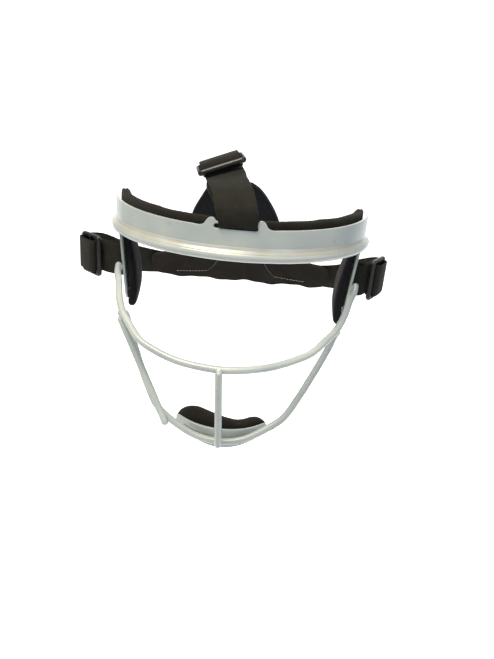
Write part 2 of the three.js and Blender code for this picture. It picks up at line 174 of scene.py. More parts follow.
# where the coat is chipped: middle and reach of each chip, in the cage's millimetres
RUST_SPOTS = [
    ((72.4, 22.8, -52.9), 2.4), ((66.5, 15.0, -56.8), 1.6), ((36.0, 4.4, -121.4), 1.6),
    ((-20.0, 1.0, -129.5), 2.0), ((14.0, -1.0, -132.6), 1.6), ((-44.0, 2.5, -118.5), 2.2),
    ((-3.0, -14.5, -73.0), 1.5), ((-1.6, -4.5, -131.0), 1.7), ((72.6, 33.0, -62.5), 1.6),
    ((-74.0, 26.0, -59.5), 2.0), ((40.0, -7.0, -68.6), 1.2), ((52.0, -0.5, -65.0), 1.1),
]


def coated_steel():
    """Steel dipped in a thermoplastic coat, so every edge is round: soft gloss, a slight orange peel,
    chips that show rust, tan grime along the seam between strip and rail, and a few pale scuffs."""
    material, tree, shader = new_material("dipped_vinyl_coat_on_steel", Roughness=0.3, IOR=1.5)
    shader.inputs["Coat Weight"].default_value = 0.4
    shader.inputs["Coat Roughness"].default_value = 0.22
    place = millimetres(tree)
    patches = ramp(tree, noise_mm(tree, place, 38, 3), 0.35, 0.7)
    colour = mix(tree, patches, linear("#9ba6a8"), linear("#adb6b3"))
    speckle = ramp(tree, noise_mm(tree, place, 1.7, 4, 0.7), 0.62, 0.74)
    colour = mix(tree, math_node(tree, "MULTIPLY", speckle, 0.22), colour, linear("#84857e"))

    seam_level = RAIL_WIRE + 0.6 - FOREHEAD.z
    height = add(tree, "SeparateXYZ", {0: place}).outputs["Z"]
    from_seam = math_node(tree, "ABSOLUTE", math_node(tree, "SUBTRACT", height, seam_level))
    seam = ramp(tree, from_seam, 0.4, 3.0, 1.0, 0.0)
    seam = math_node(tree, "MULTIPLY", seam, ramp(tree, noise_mm(tree, place, 14, 4), 0.36, 0.62, 0.1, 0.6))
    colour = mix(tree, seam, colour, linear("#9b937c"))

    chips = None
    for spot, radius in RUST_SPOTS:
        offset = add(tree, "VectorMath", {0: place, 1: Vector(spot) - FOREHEAD}, operation="DISTANCE")
        near = ramp(tree, offset.outputs["Value"], radius, radius * 0.25)
        chips = near if chips is None else math_node(tree, "MAXIMUM", chips, near)
    ragged = ramp(tree, noise_mm(tree, place, 0.9, 4, 0.7), 0.34, 0.66)
    chip = ramp(tree, math_node(tree, "ADD", chips, math_node(tree, "MULTIPLY", ragged, 0.55)), 0.95, 1.1)
    colour = mix(tree, chip, colour, mix(tree, ragged, linear("#5b3a22"), linear("#8f6a45")))

    streaks = add(tree, "VectorMath", {0: place, 1: (0.16, 0.16, 1.5)}, operation="MULTIPLY").outputs[0]
    scuff = ramp(tree, noise_mm(tree, streaks, 0.8, 3, 0.6), 0.7, 0.76)
    colour = mix(tree, math_node(tree, "MULTIPLY", scuff, 0.5), colour, linear("#dfe5e2"))
    tree.links.new(colour, shader.inputs["Base Color"])

    rough = ramp(tree, noise_mm(tree, place, 9, 3), 0.3, 0.7, 0.26, 0.42)
    rough = math_node(tree, "MAXIMUM", rough, math_node(tree, "MULTIPLY", chip, 0.85))
    tree.links.new(rough, shader.inputs["Roughness"])
    peel = math_node(tree, "ADD", noise_mm(tree, place, 2.4, 2), math_node(tree, "MULTIPLY", chip, -1.2))
    bump(tree, shader, peel, 0.05, 0.8)
    return material


def pad_cloth(name, dark, pale, nap_colour):
    """Brushed nylon loop cloth over foam: dull and dark, faded in patches, with a short nap that catches
    a little light and a few pale bits of lint."""
    material, tree, shader = new_material(name, Roughness=0.95, IOR=1.5)
    shader.inputs["Specular IOR Level"].default_value = 0.12
    shader.inputs["Sheen Weight"].default_value = 0.05
    shader.inputs["Sheen Roughness"].default_value = 0.6
    place = millimetres(tree)
    nap = noise_mm(tree, place, 0.7, 3, 0.7)
    patches = ramp(tree, noise_mm(tree, place, 12, 3), 0.3, 0.7)
    colour = mix(tree, patches, linear(dark), linear(pale))
    fuzz = math_node(tree, "MULTIPLY", ramp(tree, nap, 0.45, 0.75), 0.5)
    colour = mix(tree, fuzz, colour, linear(nap_colour))
    lint = ramp(tree, noise_mm(tree, place, 1.1, 1, 0.3), 0.8, 0.82)
    colour = mix(tree, lint, colour, linear("#77736a"))
    tree.links.new(colour, shader.inputs["Base Color"])
    bump(tree, shader, nap, 0.35, 0.9)
    return material


def elastic_webbing():
    """Woven elastic: ribs along its length over rubber cores a millimetre and a half apart, crossed by
    the weft 0.9 mm apart, matte and faded to a greenish black. UV is millimetres, across and along."""
    material, tree, shader = new_material("woven_elastic", Roughness=0.85, IOR=1.5)
    shader.inputs["Specular IOR Level"].default_value = 0.15
    shader.inputs["Sheen Weight"].default_value = 0.04
    shader.inputs["Sheen Roughness"].default_value = 0.5
    place = millimetres(tree)
    woven = add(tree, "SeparateXYZ", {0: add(tree, "TexCoord").outputs["UV"]})
    wobble = math_node(tree, "MULTIPLY", noise_mm(tree, place, 3, 2), 0.6)
    across = math_node(tree, "ADD", woven.outputs["X"], wobble)
    rib = math_node(tree, "SINE", math_node(tree, "MULTIPLY", across, math.tau / 1.55))
    weft = math_node(tree, "SINE", math_node(tree, "MULTIPLY", woven.outputs["Y"], math.tau / 0.9))
    weave = math_node(tree, "MULTIPLY", weft, 0.4)
    weave = math_node(tree, "ADD", math_node(tree, "MULTIPLY", rib, 0.6), weave)
    patches = ramp(tree, noise_mm(tree, place, 10, 3), 0.3, 0.7)
    colour = mix(tree, patches, linear("#151612"), linear("#1e1f1a"))
    colour = mix(tree, ramp(tree, weave, -0.2, 1.0, 0.0, 0.2), colour, linear("#292823"))
    lint = ramp(tree, noise_mm(tree, place, 1.0, 1, 0.3), 0.81, 0.83)
    colour = mix(tree, lint, colour, linear("#7d786a"))
    tree.links.new(colour, shader.inputs["Base Color"])
    bump(tree, shader, weave, 0.06, 0.8)
    return material


def slider_nylon():
    """Injection-moulded nylon: near black, with a satin gloss on its rounded bars and faint handling
    marks."""
    material, tree, shader = new_material("moulded_nylon", Roughness=0.4, IOR=1.53)
    place = millimetres(tree)
    smear = ramp(tree, noise_mm(tree, place, 5, 4), 0.35, 0.7)
    colour = mix(tree, smear, linear("#0c0d0f"), linear("#17181a"))
    tree.links.new(colour, shader.inputs["Base Color"])
    tree.links.new(ramp(tree, smear, 0.0, 1.0, 0.36, 0.46), shader.inputs["Roughness"])
    bump(tree, shader, noise_mm(tree, place, 6, 2), 0.02, 0.4)
    return material


def neoprene_knit():
    """Neoprene faced with a fine nylon knit: matte blue-black, faded to a brownish black along the band
    at its foot. The knit's real loops are under half a millimetre, drawn 0.9 mm apart so that they show."""
    material, tree, shader = new_material("knit_faced_neoprene", Roughness=0.8, IOR=1.5)
    shader.inputs["Specular IOR Level"].default_value = 0.12
    shader.inputs["Sheen Weight"].default_value = 0.03
    shader.inputs["Sheen Roughness"].default_value = 0.5
    place = millimetres(tree)
    knit = add(tree, "TexVoronoi", {"Vector": place, "Scale": 1.0 / 0.9}).outputs["Distance"]
    patches = ramp(tree, noise_mm(tree, place, 16, 3), 0.3, 0.7)
    colour = mix(tree, patches, linear("#05090e"), linear("#0b0f14"))
    height = add(tree, "SeparateXYZ", {0: place}).outputs["Z"]
    faded = ramp(tree, height, PANEL_FOOT.z - FOREHEAD.z + 38, PANEL_FOOT.z - FOREHEAD.z + 24)
    colour = mix(tree, faded, colour, mix(tree, patches, linear("#14110d"), linear("#1f1b16")))
    colour = mix(tree, ramp(tree, knit, 0.2, 0.8, 0.0, 0.25), colour, linear("#1b1d20"))
    tree.links.new(colour, shader.inputs["Base Color"])
    bump(tree, shader, knit, 0.15, 0.5)
    return material


def thread(name, colour):
    """Bonded polyester thread: a slight gloss, with the twist of its plies in a darker shade."""
    material, tree, shader = new_material(name, Roughness=0.55, IOR=1.5)
    place = millimetres(tree)
    links = {"Vector": place, "Scale": 1.2, "Distortion": 1.0}
    twist = add(tree, "TexWave", links, bands_direction="DIAGONAL").outputs["Fac"]
    shade = tuple(0.6 * c for c in linear(colour)[:3]) + (1.0,)
    tree.links.new(mix(tree, twist, linear(colour), shade), shader.inputs["Base Color"])
    bump(tree, shader, twist, 0.05, 0.5)
    return material


def hook_tape():
    """Moulded hook tape: tiny nylon hooks about 1.3 mm apart that scatter light, so it reads as a rough
    black mat."""
    material, tree, shader = new_material("nylon_hook_tape", Roughness=0.9, IOR=1.53)
    place = millimetres(tree)
    hooks = add(tree, "TexVoronoi", {"Vector": place, "Scale": 1.0 / 1.3}).outputs["Distance"]
    tree.links.new(mix(tree, hooks, linear("#1b1b1b"), linear("#070707")), shader.inputs["Base Color"])
    bump(tree, shader, hooks, 0.5, 1.0)
    return material


def caked_grime():
    """Dirt and rust caked where two coated parts meet."""
    material, tree, shader = new_material("caked_grime", Roughness=0.95)
    place = millimetres(tree)
    patches = ramp(tree, noise_mm(tree, place, 1.6, 4, 0.7), 0.35, 0.65)
    colour = mix(tree, patches, linear("#3e3529"), linear("#8b8270"))
    tree.links.new(colour, shader.inputs["Base Color"])
    bump(tree, shader, patches, 0.2, 1.0)
    return material


COAT = coated_steel()
GRIME = caked_grime()
CLOTH = pad_cloth("charcoal_loop_cloth", "#151412", "#1f1e1a", "#2c2a25")
# the temple pads' cloth: navy, and made darker than the other pads' cloth with painted shade, for the shadow
# inside the mask where they sit
SHADED_NAVY_CLOTH = pad_cloth("navy_loop_cloth_painted_shade", "#05080c", "#0a0e13", "#12161b")
ELASTIC = elastic_webbing()
NYLON = slider_nylon()
NEOPRENE = neoprene_knit()
TAPE = hook_tape()
PALE_THREAD = thread("pale_polyester_thread", "#b9b4a6")
DARK_THREAD = thread("black_polyester_thread", "#3a372f")


# ---- making pieces ----
def finish_piece(piece, material, body, node=None):
    """The piece's material, body and the CAD node that it stands for; a blended piece has no body."""
    piece.data.materials.clear()
    piece.data.materials.append(material)
    if piece.type == "MESH":
        for face in piece.data.polygons:
            face.use_smooth = True
    if body:
        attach(piece, body)
    if node:
        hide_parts(node)


def finish_coated(piece, node=None):
    finish_piece(piece, COAT, "mask", node)


def finish_pad(piece, cloth, node):
    finish_piece(piece, cloth, "mask", node)


def mesh_object(name, points, faces):
    """points are frame metres."""
    mesh = bpy.data.meshes.new(name)
    mesh.from_pydata([tuple(p) for p in points], [], faces)
    mesh.update()
    return new_object(name, mesh)


def modify(piece, kind, **settings):
    modifier = piece.modifiers.new(kind.lower(), kind)
    for name, value in settings.items():
        setattr(modifier, name, value)
    return modifier


def subdivide(piece, levels):
    modify(piece, "SUBSURF", levels=levels, render_levels=levels)


def apply_stack(piece):
    """Turns the piece's modifiers into plain mesh."""
    graph = bpy.context.evaluated_depsgraph_get()
    mesh = bpy.data.meshes.new_from_object(piece.evaluated_get(graph), depsgraph=graph)
    piece.modifiers.clear()
    piece.data = mesh
    return piece


def merge_doubles(piece, closed=True):
    """Merges points that lie together; a closed shape then has its faces turned outwards."""
    work = bmesh.new()
    work.from_mesh(piece.data)
    bmesh.ops.remove_doubles(work, verts=work.verts, dist=DOUBLE)
    if closed:
        bmesh.ops.recalc_face_normals(work, faces=work.faces)
    work.to_mesh(piece.data)
    work.free()


def round_edges(piece, width, segments, from_angle):
    modify(piece, "BEVEL", width=width * MM, segments=segments, limit_method="ANGLE",
           angle_limit=math.radians(from_angle))


def tube_faces(rings, count, first=0):
    """Quads between rings of count points; first is the number of the first point."""
    faces = []
    for r in range(rings - 1):
        for i in range(count):
            a, b = first + r * count + i, first + r * count + (i + 1) % count
            faces.append((a, b, b + count, a + count))
    return faces


def grid_faces(rows, columns, skip=lambda row, column: False):
    """Quads between rows of points; skip(row, column) leaves an opening."""
    faces = []
    for r in range(rows - 1):
        for c in range(columns - 1):
            if not skip(r, c):
                a = r * columns + c
                faces.append((a, a + 1, a + 1 + columns, a + columns))
    return faces


def loft(name, rings):
    """A closed body through rings of equal count; its ends are fans round their middles."""
    count = len(rings[0])
    points = [at(*p) for ring in rings for p in ring]
    faces = tube_faces(len(rings), count)
    for start, ring in ((0, rings[0]), (len(points) - count, rings[-1])):
        middle = len(points)
        points.append(at(*(sum((Vector(p) for p in ring), Vector()) / count)))
        faces += [(start + i, start + (i + 1) % count, middle) for i in range(count)]
    piece = mesh_object(name, points, faces)
    merge_doubles(piece)
    return piece


def catmull(p, k, t):
    """A point at knot value t on the stretch between p[1] and p[2]."""
    a1 = p[0].lerp(p[1], (t - k[0]) / (k[1] - k[0]))
    a2 = p[1].lerp(p[2], (t - k[1]) / (k[2] - k[1]))
    a3 = p[2].lerp(p[3], (t - k[2]) / (k[3] - k[2]))
    b1 = a1.lerp(a2, (t - k[0]) / (k[2] - k[0]))
    b2 = a2.lerp(a3, (t - k[1]) / (k[3] - k[1]))
    return b1.lerp(b2, (t - k[1]) / (k[2] - k[1]))


def knotted_path(line, step):
    """Points about step millimetres apart on a centripetal Catmull-Rom curve through the line's points, and
    for each of them how many of the line's points it is past."""
    points = [Vector(p) for p in line]
    ends = [2 * points[0] - points[1]] + points + [2 * points[-1] - points[-2]]
    path, passed = [], []
    for index, p in enumerate(zip(ends, ends[1:], ends[2:], ends[3:])):
        knots = [0.0]
        for a, b in zip(p, p[1:]):
            knots.append(knots[-1] + max((b - a).length, 1e-6) ** 0.5)
        count = max(2, round((p[2] - p[1]).length / step))
        for k in range(count):
            path.append(catmull(p, knots, knots[1] + (knots[2] - knots[1]) * k / count))
            passed.append(index + k / count)
    path.append(points[-1].copy())
    passed.append(len(points) - 1)
    return path, passed


def smooth_path(line, step=1.0):
    return knotted_path(line, step)[0]


def mirrored(points):
    """The whole of a bar from its right half, which starts in the middle."""
    return [(-x, y, z) for x, y, z in reversed(points[1:])] + list(points)


def sprung(points, outwards, downwards):
    """A cage bar from its right half; its left side is sprung a little outwards and downwards."""
    reach = points[-1][0]
    whole = []
    for x, y, z in mirrored(points):
        bow = math.sin(math.pi * min(0, x / reach))
        whole.append((x + outwards * bow, y, z + downwards * bow))
    return whole


def round_wire(name, points, radius, material, body, node=None, step=2.0, swell=None):
    """A round wire with domed ends; swell(share of the way) changes its radius."""
    path = smooth_path(points, step)
    domes = []
    for end, beyond in ((path[0], path[1]), (path[-1], path[-2])):
        inwards = (beyond - end).normalized()
        domes.append([
            (end + inwards * radius * (1 - math.cos(math.radians(a))), math.sin(math.radians(a)))
            for a in (8, 22, 38, 54, 72, 90)
        ])
    clear = radius * 1.3
    between = [(p, 1.0) for p in path if (p - path[0]).length > clear and (p - path[-1]).length > clear]
    stations = domes[0] + between + domes[1][::-1]
    data = bpy.data.curves.new(name, "CURVE")
    data.dimensions = "3D"
    data.bevel_depth = radius * MM
    data.bevel_resolution = 5
    data.use_fill_caps = True
    spline = data.splines.new("POLY")
    spline.points.add(len(stations) - 1)
    for i, (place, share) in enumerate(stations):
        grow = swell(i / (len(stations) - 1)) if swell else 1.0
        spline.points[i].co = (*at(*place), 1)
        spline.points[i].radius = share * grow
    finish_piece(new_object(name, data), material, body, node)


def dipped(share):
    """The coat runs a touch thicker and thinner along a wire."""
    return 1.0 + 0.012 * math.sin(share * 41) + 0.008 * math.sin(share * 97)


# ---- cage: rail, bars, welds ----
def rail_line():
    half = []
    for degrees in range(0, 79, 6):
        angle = math.radians(degrees)
        half.append((BROW_RADIUS * math.sin(angle), BROW_RADIUS * (1 - math.cos(angle)), 0))
    return mirrored(half + [(93, 82, 0), (91.2, 88.5, 0), (86, 92.5, 0)])


EYE_HALF = [
    (0, -14, -70.8), (22.6, -10.7, -69.2), (35.4, -6.4, -67.1), (48.3, -0.2, -64), (56.4, 5, -61.4),
    (66.9, 17, -55.4), (73, 24.7, -51.5), (78.9, 36.7, -45.5), (84.2, 54, -39.6), (88.1, 65, -36.2),
    (91, 78, -33.8),
]
CHIN_HALF = [
    (0, 0, -133), (14.7, 1, -130.9), (30.5, 4.8, -123.4), (42.5, 8.9, -115.2), (52, 15.6, -101.7),
    (60.8, 23.2, -86.6), (70.1, 31.8, -69.3), (73.4, 33.7, -60), (75.8, 32.5, -54.2),
]
CENTRE_LINE = [(-3.2, -19.3, -69.5), (-2.1, -12.4, -102), (-1, -5.4, -134.5)]
STRUT_LINE = [(-77.5, 27, -56.5), (-57.8, 13.2, -90), (-38.1, -0.6, -123.5)]

EYE_LINE = sprung(EYE_HALF, 3, 1.5)
CHIN_LINE = sprung(CHIN_HALF, 3.5, 0)

for bar, line, radius in (
    ("brow_rail", rail_line(), RAIL_WIRE),
    ("eye_bar", EYE_LINE, BAR_WIRE),
    ("chin_bar", CHIN_LINE, BAR_WIRE),
    ("centre_bar", CENTRE_LINE, BAR_WIRE),
    ("left_strut", STRUT_LINE, BAR_WIRE),
):
    round_wire(f"{bar}_coated", line, radius, COAT, "mask", bar, swell=dipped)


def weld_bead(name, centre, along, length, width, seed):
    """A short lump of weld under the coat, where two bars touch."""
    work = bmesh.new()
    bmesh.ops.create_icosphere(work, subdivisions=3, radius=1.0)
    turn = Vector(along).normalized().to_track_quat("Z", "Y").to_matrix()
    for vert in work.verts:
        lump = 1.0 + 0.16 * noise.noise(vert.co * 1.7 + Vector((seed, 0, 0)))
        local = Vector((vert.co.x * width, vert.co.y * width, vert.co.z * length)) * lump
        vert.co = at(*(Vector(centre) + turn @ local))
    mesh = bpy.data.meshes.new(name)
    work.to_mesh(mesh)
    work.free()
    finish_coated(new_object(name, mesh))


# middle, direction, half length and half width
WELDS = [
    ((-3.1, -16.7, -70.4), (1, 0.1, 0), 2.6, 1.6), ((-1.1, -2.9, -133.6), (1, 0.1, 0), 2.8, 1.7),
    ((-76.9, 26.4, -54.0), (-0.4, 0.8, 0.4), 2.4, 1.8), ((-40.6, 4.0, -118.6), (-0.5, 0.3, 0.8), 2.6, 1.5),
    ((75.8, 31.4, -51.4), (0.4, 0.8, 0.4), 2.6, 1.8), ((-76.6, 31.4, -51.8), (-0.4, 0.8, 0.4), 2.6, 1.8),
    ((88.0, 72.5, -35.0), (0.25, 1, 0.2), 4.0, 1.5), ((-88.0, 72.5, -35.0), (-0.25, 1, 0.2), 4.0, 1.5),
    ((89.6, 79.0, -2.6), (0.1, 1, 0), 4.5, 1.5), ((-89.6, 79.0, -2.6), (-0.1, 1, 0), 4.5, 1.5),
]
for index, (centre, along, length, width) in enumerate(WELDS):
    weld_bead(f"weld_bead_{index + 1}", centre, along, length, width, 3.7 * index)


# ---- curved strips: brow shell and chin cup ----
def coated_strip(name, rows, node, **opening):
    """A curved metal strip from rows of points on its outer face."""
    points = [at(*p) for row in rows for p in row]
    piece = mesh_object(name, points, grid_faces(len(rows), len(rows[0]), **opening))
    merge_doubles(piece, closed=False)
    modify(piece, "SOLIDIFY", thickness=SHEET * MM, offset=-1, use_even_offset=True)
    round_edges(piece, SHEET_EDGE, 2, 40)
    subdivide(piece, 2)
    finish_coated(piece, node)


SHELL_OUTER = 93.6                     # radius of the shell's outer face
SHELL_END = 78                         # degrees from the middle to each tip
SHELL_BOTTOM = 3.3
SHELL_CORNER = 3.2                     # rounding of each tip's upper corner
SLOT_CENTRE, SLOT_HALF_HEIGHT, SLOT_HALF_WIDTH = 17.8, 1.4, 13.7


def quadratic(a, b, c, count):
    """Points on a quadratic curve from a to c that is pulled towards b."""
    return [Vector(a).lerp(Vector(b), i / count).lerp(Vector(b).lerp(Vector(c), i / count), i / count)
            for i in range(count + 1)]


# right half of the tab's outline: its flat top, its raised shoulder and the hollow beside it
TAB_EDGE = [Vector(p) for p in ((0, 20.6), (12.2, 20.6), (12.9, 20.9), (13.5, 21.8), (14.1, 22.4))]
TAB_EDGE += quadratic((14.8, 22.7), (17.8, 22.8), (18.9, 19.8), 5)
TAB_EDGE += quadratic((18.9, 19.8), (20.0, 17.0), (24.4, 17.1), 6)[1:]


def shell_top(x, y):
    """Height of the shell's top edge: the tab's outline near the middle, then a slow rise to the tips."""
    reach = abs(x)
    if reach >= TAB_EDGE[-1].x:
        return 17 + (y + 5) * 3.5 / 85
    for a, b in zip(TAB_EDGE, TAB_EDGE[1:]):
        if reach <= b.x:
            return a.y + (b.y - a.y) * (reach - a.x) / (b.x - a.x)
    return TAB_EDGE[-1].y


def brow_shell():
    """The shell, with its slot for the top strap; its columns crowd together round the slot and the tab."""
    near = [0, 3, 6, 9, 10.8, 11.9, 12.8, 13.4, 13.7, 14.2, 14.8, 15.5, 16.2, 16.8, 17.3, 17.8, 18.4, 19.2,
            20.4, 22, 24, 26.5]
    angles = [math.degrees(math.asin(x / SHELL_OUTER)) for x in near]
    while angles[-1] < SHELL_END - 3:
        angles.append(angles[-1] + 2.2)
    angles = [a for a in angles if a < SHELL_END - 2.4] + [SHELL_END - f for f in (2.0, 1.2, 0.6, 0.2, 0)]
    angles = [-a for a in reversed(angles[1:])] + angles
    rows = [[] for _ in range(6)]
    for angle in angles:
        turn = math.radians(angle)
        x, y = SHELL_OUTER * math.sin(turn), BROW_RADIUS - SHELL_OUTER * math.cos(turn)
        top = shell_top(x, y)
        to_end = math.radians(SHELL_END - abs(angle)) * SHELL_OUTER
        if to_end < SHELL_CORNER:
            top -= SHELL_CORNER - math.sqrt(max(0.0, SHELL_CORNER ** 2 - (SHELL_CORNER - to_end) ** 2))
        reach = abs(x)
        if reach <= SLOT_HALF_WIDTH + 0.01:
            past = max(0.0, reach - (SLOT_HALF_WIDTH - SLOT_HALF_HEIGHT)) / SLOT_HALF_HEIGHT
            half = SLOT_HALF_HEIGHT * math.sqrt(max(0.0, 1 - min(1, past) ** 2))
            low, high = SLOT_CENTRE - half, SLOT_CENTRE + half
        else:
            away = min(1.0, (reach - SLOT_HALF_WIDTH) / 9)
            low = SLOT_CENTRE + away * (SHELL_BOTTOM + 0.55 * (top - SHELL_BOTTOM) - SLOT_CENTRE)
            high = SLOT_CENTRE + away * (SHELL_BOTTOM + 0.82 * (top - SHELL_BOTTOM) - SLOT_CENTRE)
        heights = [SHELL_BOTTOM, (SHELL_BOTTOM + low) / 2, low, high, (high + top) / 2, top]
        for row, height in zip(rows, heights):
            row.append((x, y, height))
    xs = [p[0] for p in rows[0]]

    def over_slot(row, column):
        return row == 2 and max(abs(xs[column]), abs(xs[column + 1])) <= SLOT_HALF_WIDTH + 0.01

    coated_strip("brow_shell_coated", rows, "brow_shell", skip=over_slot)


brow_shell()

# the cup is part of an upright cylinder round the chin; its edges are outlines of (x, z)
CUP_CENTRE_Y, CUP_OUTER = 53.7, 50.9
CUP_LEFT, CUP_RIGHT = -34, 32
CUP_UPPER = [(-34, -123), (-26, -124.1), (-18, -124.8), (0, -125.3), (18, -124.8), (25, -124.1), (32, -123)]
CUP_LOWER = [(-34, -129.5), (-24, -134.8), (-12, -138.8), (0, -140.2), (12, -138.8), (24, -134.8),
             (32, -129.5)]


def height_along(outline, x):
    """Height of an outline through (x, z) points, smooth between them."""
    line = smooth_path([(a, 0, z) for a, z in outline], 0.5)
    for a, b in zip(line, line[1:]):
        if a.x <= x <= b.x:
            return a.z + (b.z - a.z) * (x - a.x) / max(b.x - a.x, 1e-6)
    return line[0].z if x < line[0].x else line[-1].z


def chin_cup():
    columns, steps = 34, 5
    rows = [[] for _ in range(steps + 1)]
    for c in range(columns + 1):
        x = CUP_LEFT + (CUP_RIGHT - CUP_LEFT) * c / columns
        y = CUP_CENTRE_Y - math.sqrt(CUP_OUTER ** 2 - x * x)
        upper, lower = height_along(CUP_UPPER, x), height_along(CUP_LOWER, x)
        to_end = min(x - CUP_LEFT, CUP_RIGHT - x)
        upper -= max(0.0, 3 - to_end) ** 2 * 0.12
        for r, row in enumerate(rows):
            row.append((x, y, lower + (upper - lower) * r / steps))
    coated_strip("chin_cup_coated", rows, "chin_cup")


chin_cup()


def grime_line():
    """Grime caked on the cup's face, just over the chin bar."""
    line = []
    for p in smooth_path(CHIN_LINE):
        if -27 < p.x < 26:
            face = CUP_CENTRE_Y - math.sqrt((CUP_OUTER + 0.1) ** 2 - p.x ** 2)
            line.append((p.x, face, p.z + 2.3 - 0.65 * (face - p.y - 1.4)))

    def crumbly(share):
        return 0.55 + 1.1 * max(0.0, noise.noise(Vector((share * 14, 7, 0))) + 0.25)

    round_wire("chin_grime", line, 0.42, GRIME, "mask", step=0.8, swell=crumbly)


grime_line()


# ---- flat plates with rounded edges ----
def flat_plate(name, outlines, thickness, edge, place):
    """A flat plate from its outline and its holes, in local X and Y, put where the matrix says."""
    data = bpy.data.curves.new(name, "CURVE")
    data.dimensions = "2D"
    data.fill_mode = "BOTH"
    data.extrude = (thickness / 2 - edge) * MM
    data.bevel_depth = edge * MM
    data.bevel_resolution = 3
    data.offset = -edge * MM
    for outline in outlines:
        spline = data.splines.new("POLY")
        spline.use_cyclic_u = True
        spline.points.add(len(outline) - 1)
        for point, (x, y) in zip(spline.points, outline):
            point.co = (x * MM, y * MM, 0, 1)
    curve = new_object(name + "_outline", data)
    graph = bpy.context.evaluated_depsgraph_get()
    mesh = bpy.data.meshes.new_from_object(curve.evaluated_get(graph), depsgraph=graph)
    mesh.name = name
    bpy.data.objects.remove(curve)
    mesh.transform(place)
    piece = new_object(name, mesh)
    merge_doubles(piece)
    modify(piece, "WEIGHTED_NORMAL", weight=100)
    return piece


def temple_matrix(side):
    """From a temple's own axes, X outwards, to the frame; both are in metres."""
    move = Matrix.Translation(at(side * PLATE_TOP_X, 0, PLATE_TOP_Z))
    turn = Matrix.Rotation(side * PLATE_LEAN, 4, "Y")
    return move @ turn @ Matrix.Diagonal((side, 1, 1, 1)) @ Matrix.Translation((0, 0, -PLATE_TOP_Z * MM))


def plate_outline():
    """The plate's edge as (y, z): a straight front, a hooked foot and a rounded back."""
    outline = [Vector((75, PLATE_TOP_Z)), Vector((80.5, -56))]
    outline += quadratic((80.5, -56), (81.5, -65), (88, -63), 8)[1:]
    outline += quadratic((88, -63), (100, -57), (102, -44), 8)[1:]
    outline += quadratic((102, -12), (102, PLATE_TOP_Z), (94, PLATE_TOP_Z), 8)
    return outline


def rounded_slot(low_x, high_x, low_y, high_y, corner, steps=5):
    """Corner points of a slot with rounded corners, clockwise."""
    points = []
    for cx, cy, start in ((high_x - corner, high_y - corner, 90), (high_x - corner, low_y + corner, 0),
                          (low_x + corner, low_y + corner, -90), (low_x + corner, high_y - corner, -180)):
        for i in range(steps + 1):
            angle = math.radians(start - 90 * i / steps)
            points.append((cx + corner * math.cos(angle), cy + corner * math.sin(angle)))
    return points


# a plate lies in its temple's Y and Z, so its own X and Y are turned onto those
TURN_UP = Matrix(((0, 0, 1, 0), (1, 0, 0, 0), (0, 1, 0, 0), (0, 0, 0, 1)))
PLATE_SLOT = (89.5, 94.5, -48, -20)    # nearest and furthest Y, lowest and highest Z
SIDES = (("left", -1), ("right", 1))

for side_name, side in SIDES:
    plate = flat_plate(f"temple_plate_{side_name}_coated", [plate_outline(), rounded_slot(*PLATE_SLOT, 1.8)],
                       SHEET, SHEET_EDGE, temple_matrix(side) @ TURN_UP)
    finish_coated(plate, f"temple_plate_{side_name}")


def brow_fillet():
    """The hollow of coat between the shell's face and the rail under it, thinned to nothing at its tips."""
    section = [(93.2, 6.4), (93.7, 6.0), (93.85, 5.0), (94.3, 4.0), (95.2, 3.15), (96.3, 2.3), (95.6, 1.6),
               (94.0, 2.0), (93.2, 3.2)]
    foot_radius, foot_height, end = 93.2, 2.6, 77
    rings = []
    for degrees in range(-end, end + 1):
        turn = math.radians(degrees)
        taper = min(1.0, (end - abs(degrees)) / 2.5)
        ring = []
        for radius, height in section:
            radius = foot_radius + (radius - foot_radius) * taper
            ring.append((radius * math.sin(turn), BROW_RADIUS - radius * math.cos(turn),
                         foot_height + (height - foot_height) * taper))
        rings.append(ring)
    fillet = loft("brow_seam_fillet", rings)
    subdivide(fillet, 1)
    finish_coated(fillet)


brow_fillet()


# ---- foam pads: a closed form, remeshed evenly and swollen like stuffed cloth, then seamed ----
def swell_foam(piece, voxel, pressure, cap, keep_inside):
    """Cloth pressure rounds the pad; no point moves further than cap, or past what lies behind the pad."""
    modify(piece, "REMESH", mode="VOXEL", voxel_size=voxel * MM)
    apply_stack(piece)
    rest = [v.co.copy() for v in piece.data.vertices]
    cloth = modify(piece, "CLOTH")
    cloth.settings.quality = 4
    cloth.settings.use_pressure = True
    cloth.settings.uniform_pressure_force = pressure
    cloth.settings.effector_weights.gravity = 0
    cloth.point_cache.frame_start = 1
    cloth.point_cache.frame_end = CLOTH_FRAMES
    for step in range(1, CLOTH_FRAMES + 1):
        bpy.context.scene.frame_set(step)
    apply_stack(piece)
    bpy.context.scene.frame_set(1)
    for vert, home in zip(piece.data.vertices, rest):
        move = vert.co - home
        if move.length > cap * MM:
            vert.co = home + move.normalized() * cap * MM
    for vert in piece.data.vertices:
        vert.co = keep_inside(vert.co)
    subdivide(piece, 1)
    apply_stack(piece)


# radii round the head: the brow pad's front and back, its rounded edges and the ridge along its top
PAD_FRONT, PAD_BACK = 89.6, 83.4
PAD_BACK_EDGE, PAD_RIDGE, PAD_FRONT_EDGE = 85.2, 87, 88.8


